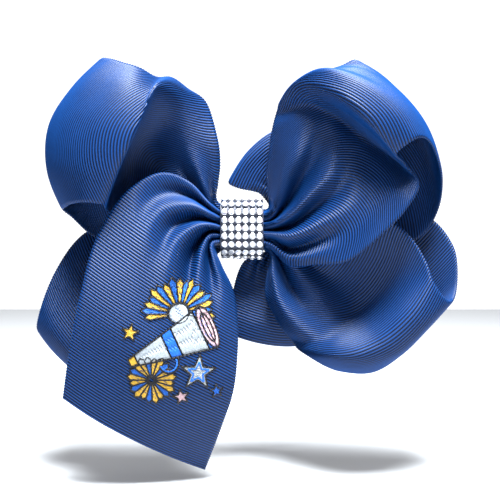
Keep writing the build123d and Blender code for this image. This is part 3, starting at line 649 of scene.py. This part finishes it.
pompom(1.5, 9.5, 4.4, 15.5, -12, 192, 17, (GOLD, BLUE))
fill(arc(1.5, 9.5, 4.2, 4.2, 0, 360, 20)[:-1], 30, SILVER)
outline(arc(1.5, 9.5, 4.2, 4.2, 0, 360, 16)[:-1])
pompom(-9.5, -18.0, 1.2, 10.5, 0, 360, 20, (GOLD, GOLD, BLUE))
horn_turn = math.degrees(math.atan2(HORN_END[1] - HORN_START[1], HORN_END[0] - HORN_START[0]))
for t0, t1, paint in (
    (-0.10, 0.0, GOLD), (0.0, 0.42, SILVER), (0.42, 0.56, BLUE), (0.56, 0.90, SILVER), (0.90, 1.0, BLUE),
):
    fill(horn_band(t0, t1), horn_turn + 90 if paint == BLUE else horn_turn + 78, paint, 0.12, 5.5)
    outline(horn_band(t0, t1), lift=0.36)
bell = arc(*along_horn(1.0, 0), 3.1, 9.6, 0, 360, 26, horn_turn)[:-1]
fill(bell, horn_turn + 90, PINK, 0.2, 5.0)
outline(bell, lift=0.44)
inner = arc(*along_horn(1.0, 0), 1.7, 6.6, 0, 360, 20, horn_turn)[:-1]
outline(inner, lift=0.5)
outline(arc(*along_horn(0.36, -6.4), 4.2, 4.6, 180, 360, 10, horn_turn), BLACK, 0.3, closed=False)
outline(arc(*along_horn(0.36, -6.4), 3.4, 3.8, 180, 360, 10, horn_turn), BLUE, 0.3, closed=False)
fill(star(9.5, -15.5, 7.6, 84), 5, WHITE, 0.1, 5.0)
outline(star(9.5, -15.5, 7.6, 84), lift=0.34)
outline(star(9.5, -15.5, 4.6, 84), BLUE, 0.4)
for x, y, r, turn, angle, paint in (
    (2.5, -25.5, 3.6, 100, 20, PINK),
    (-18.0, 2.0, 3.8, 78, -10, GOLD),
    (17.0, -24.0, 3.0, 95, 0, BLUE),
):
    fill(star(x, y, r, turn), angle, paint, 0.1)
    outline(star(x, y, r, turn), lift=0.3)

points = np.array([tuple(v) for v in threads["verts"]])
stitches = make_mesh("embroidery_stitches", points, threads["faces"])
for thread_name, color in (
    ("gold", (0.78, 0.47, 0.05)),
    ("royal_blue", (0.02, 0.15, 0.62)),
    ("silver_grey", (0.42, 0.46, 0.50)),
    ("pale_pink", (0.74, 0.50, 0.54)),
    ("white", (0.42, 0.44, 0.45)),
    ("black", (0.008, 0.008, 0.012)),
):
    shade = tuple(THREAD_SHADE * c for c in color)
    stitches.data.materials.append(thread_material("thread_" + thread_name, shade))
stitches.data.polygons.foreach_set("material_index", np.array(threads["paint"], dtype=np.int32))
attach(stitches, "bow")
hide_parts("embroidery")
print("stitches", len(threads["verts"]) // 16)

# ------------------------------------------------------------------------------------------
# cloth bands: the wrap over the knot, under the stones, and the lining of the clip's fixed arm
# ------------------------------------------------------------------------------------------
BAND_COLS = 9            # mesh columns across a band
WRAP_HALF = 9.6          # half width of the wrap, mm
WRAP_THICK = 0.66
WRAP_CORNER = 5.5        # corner radius of the wrap's middle line
WRAP_HALF_Y, WRAP_HALF_Z = 9.6, 11.6
KNOT_Y = -16.0           # middle of the knot
LINING_HALF = 3.8
LINING_THICK = 0.36
LINING_LINE = [(8, -3.05), (-22.6, -3.05), (-27.5, -1.05)]


def band(name, line, half, thick, closed, place):
    """A thin ribbed cloth band whose middle follows a line of points in a plane.

    place(across, a, b) gives x, y, z of a point: its place across the band, and on the line's plane.
    Also gives the band's length in millimetres."""
    line = np.array(line, dtype=float)
    if closed:
        line = np.concatenate([line, line[:1]])
    run = np.concatenate([[0], np.cumsum(np.linalg.norm(np.diff(line, axis=0), axis=1))])
    at = np.linspace(0, run[-1], int(run[-1] / RIB * 6))
    mid = np.stack([np.interp(at, run, line[:, k]) for k in range(2)], axis=1)
    way = np.gradient(mid, axis=0)
    if closed:
        way[0] = way[-1] = mid[1] - mid[-2]
    way /= np.linalg.norm(way, axis=1, keepdims=True)
    side = np.stack([-way[:, 1], way[:, 0]], axis=1)
    across = np.linspace(-half, half, BAND_COLS)
    high = thick / 2 * (0.75 + 0.25 * np.cos(2 * np.pi * at / RIB))
    verts, uv = [], []
    for face in (1, -1):
        for i in range(len(at)):
            for x in across:
                verts.append(place(x, *(mid[i] + side[i] * high[i] * face)))
                uv.append((x / WIDTH + 0.5, at[i] / WIDTH))
    n, m = len(at), BAND_COLS
    front, back = np.arange(2 * n * m).reshape(2, n, m)
    faces = []
    for i in range(n - 1):
        for j in range(m - 1):
            faces.append([front[i, j], front[i + 1, j], front[i + 1, j + 1], front[i, j + 1]])
            faces.append([back[i, j + 1], back[i + 1, j + 1], back[i + 1, j], back[i, j]])
        for j in (0, m - 1):
            faces.append([front[i, j], back[i, j], back[i + 1, j], front[i + 1, j]])
    for i in (0, n - 1):
        for j in range(m - 1):
            faces.append([front[i, j], front[i, j + 1], back[i, j + 1], back[i, j]])
    obj = make_mesh(name, np.array(verts), faces, np.array(uv))
    obj.data.materials.append(ribbon_mat)
    return obj, run[-1]


ring = []
for quarter, (sign_y, sign_z) in enumerate(((1, 1), (-1, 1), (-1, -1), (1, -1))):
    for step in range(9):
        angle = math.pi / 2 * (quarter + step / 8)
        ring.append((KNOT_Y + sign_y * (WRAP_HALF_Y - WRAP_CORNER) + WRAP_CORNER * math.cos(angle),
                     sign_z * (WRAP_HALF_Z - WRAP_CORNER) + WRAP_CORNER * math.sin(angle)))
wrap, wrap_long = band("knot_wrap_cloth", ring, WRAP_HALF, WRAP_THICK, True,
                       lambda across, y, z: (across, y, z))
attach(wrap, "bow")
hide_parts("knot_wrap")
lining, lining_long = band("clip_lining_cloth", LINING_LINE, LINING_HALF, LINING_THICK, False,
                           lambda across, x, y: (x, y, across))
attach(lining, "bow")
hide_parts("clip_lining")
print("wrap", round(wrap_long, 1), "lining", round(lining_long, 1))

# ------------------------------------------------------------------------------------------
# CAD pieces that stay visible
# ------------------------------------------------------------------------------------------
silver, _, _ = new_material("silver_plate", (0.80, 0.81, 0.83), rough=0.22, metal=1.0)
nickel, _, _ = new_material("nickel_plate", (0.50, 0.51, 0.53), rough=0.28, metal=1.0)
steel, _, _ = new_material("drawn_steel", (0.55, 0.56, 0.58), rough=0.3, metal=1.0)
# the stone net gets the near-black navy of shaded ribbon seen through its gaps: the ribbon's colour
# darkened by painted shade
net, _, _ = new_material("net_in_painted_shade", (0.02, 0.025, 0.05), rough=0.5)
glue, _, _ = new_material("hot_glue", (0.80, 0.77, 0.68), rough=0.35)
tie, _, _ = new_material("tie_plastic", (0.85, 0.85, 0.83), rough=0.4)
rubber, _, _ = new_material("grip_silicone", (0.05, 0.06, 0.12), rough=0.7, spec=0.3)


def cut_crystal():
    """Mirror-backed crystal with painted reflections and glints: cells about as large as a facet are
    painted white, grey or pink.
    """
    mat, tree, p = new_material("cut_crystal", (0.9, 0.9, 0.94), rough=0.05, metal=0.55, spec=0.9, coat=1.0)
    p.inputs["Coat Roughness"].default_value = 0.02
    cell = tree.nodes.new("ShaderNodeTexVoronoi")
    cell.inputs["Scale"].default_value = 320.0
    where = tree.nodes.new("ShaderNodeTexCoord")
    tree.links.new(where.outputs["Object"], cell.inputs["Vector"])
    painted_facet_glints = tree.nodes.new("ShaderNodeValToRGB")
    painted_facet_glints.color_ramp.elements[0].color = (0.93, 0.94, 0.98, 1)
    # painted reflections of the facets: grey for dark surroundings, pink glints, white flashes
    for spot, shade in (
        (0.55, (0.62, 0.64, 0.70, 1)),
        (0.72, (0.95, 0.80, 0.84, 1)),
        (0.86, (0.98, 0.98, 1.0, 1)),
    ):
        painted_facet_glints.color_ramp.elements.new(spot).color = shade
    painted_facet_glints.color_ramp.interpolation = "CONSTANT"
    pick = tree.nodes.new("ShaderNodeSeparateColor")
    tree.links.new(cell.outputs["Color"], pick.inputs[0])
    tree.links.new(pick.outputs[0], painted_facet_glints.inputs["Fac"])
    tree.links.new(painted_facet_glints.outputs["Color"], p.inputs["Base Color"])
    return mat


look = {
    "inner_tie": tie,
    "stone_mesh": net,
    "stone_settings": silver,
    "rhinestones": cut_crystal(),
    "glue_pad": glue,
    "root_glue": glue,
    "clip_fixed_arm": nickel,
    "clip_moving_jaw": nickel,
    "pivot_pin": steel,
    "jaw_spring": steel,
    "grip_strip": rubber,
}
for node_name, mat in look.items():
    obj = bpy.data.objects[node_name]
    obj.data.materials.clear()
    obj.data.materials.append(mat)

# ------------------------------------------------------------------------------------------
# floor, light, camera
# ------------------------------------------------------------------------------------------
FLOOR_SIZE = 1.9
FLOOR_Z = -0.1125        # 3 mm under the tail's lowest corner
EYE = (0.0036, -0.365, -0.0098)
LENS = 54.65
SENSOR = 36

bpy.ops.mesh.primitive_plane_add(size=FLOOR_SIZE, location=(0, 0, FLOOR_Z))
floor = bpy.context.object
floor.name = "floor"
pale, _, _ = new_material("pale_floor", (0.60, 0.60, 0.61), rough=0.9, spec=0.1)
floor.data.materials.append(pale)

world = bpy.data.worlds.new("studio")
bpy.context.scene.world = world
world.use_nodes = True
wt = world.node_tree
coord = wt.nodes.new("ShaderNodeTexCoord")
split = wt.nodes.new("ShaderNodeSeparateXYZ")
wt.links.new(coord.outputs["Generated"], split.inputs[0])


def world_ramp(socket, low, high, dim, bright):
    """Light of the sky, from dim to bright as one part of the direction goes from low to high."""
    ramp = wt.nodes.new("ShaderNodeMapRange")
    ramp.interpolation_type = "SMOOTHSTEP"
    ramp.inputs[1].default_value, ramp.inputs[2].default_value = low, high
    ramp.inputs[3].default_value, ramp.inputs[4].default_value = dim, bright
    wt.links.new(split.outputs[socket], ramp.inputs[0])
    return ramp.outputs[0]


# bright behind the bow and overhead, dim on the viewer's side
larger = wt.nodes.new("ShaderNodeMath")
larger.operation = "MAXIMUM"
wt.links.new(world_ramp("Y", 0.1, 0.85, 0.05, 1.3), larger.inputs[0])
wt.links.new(world_ramp("Z", 0.25, 0.95, 0.05, 0.8), larger.inputs[1])
wt.nodes["Background"].inputs["Color"].default_value = (0.97, 0.985, 1, 1)
wt.links.new(larger.outputs[0], wt.nodes["Background"].inputs["Strength"])


def area_light(name, place, aim, size, power, color):
    """A square light at a place, turned to its aim."""
    data = bpy.data.lights.new(name, "AREA")
    data.energy, data.size, data.color = power, size, color
    obj = bpy.data.objects.new(name, data)
    bpy.context.scene.collection.objects.link(obj)
    obj.location = place
    obj.rotation_mode = "QUATERNION"
    obj.rotation_quaternion = (Vector(aim) - Vector(place)).to_track_quat("-Z", "Y")


area_light("sky", (0.06, -0.26, 0.60), (0, -0.03, 0), 0.26, 31, (0.90, 0.96, 1))

bpy.context.scene.view_settings.view_transform = "Standard"
camera = bpy.data.cameras.new("camera")
cam = bpy.data.objects.new("camera", camera)
bpy.context.scene.collection.objects.link(cam)
bpy.context.scene.camera = cam
cam.location = EYE
cam.rotation_euler = (math.pi / 2, 0, 0)
camera.lens = LENS
camera.sensor_width = SENSOR
camera.clip_start, camera.clip_end = 0.01, 20
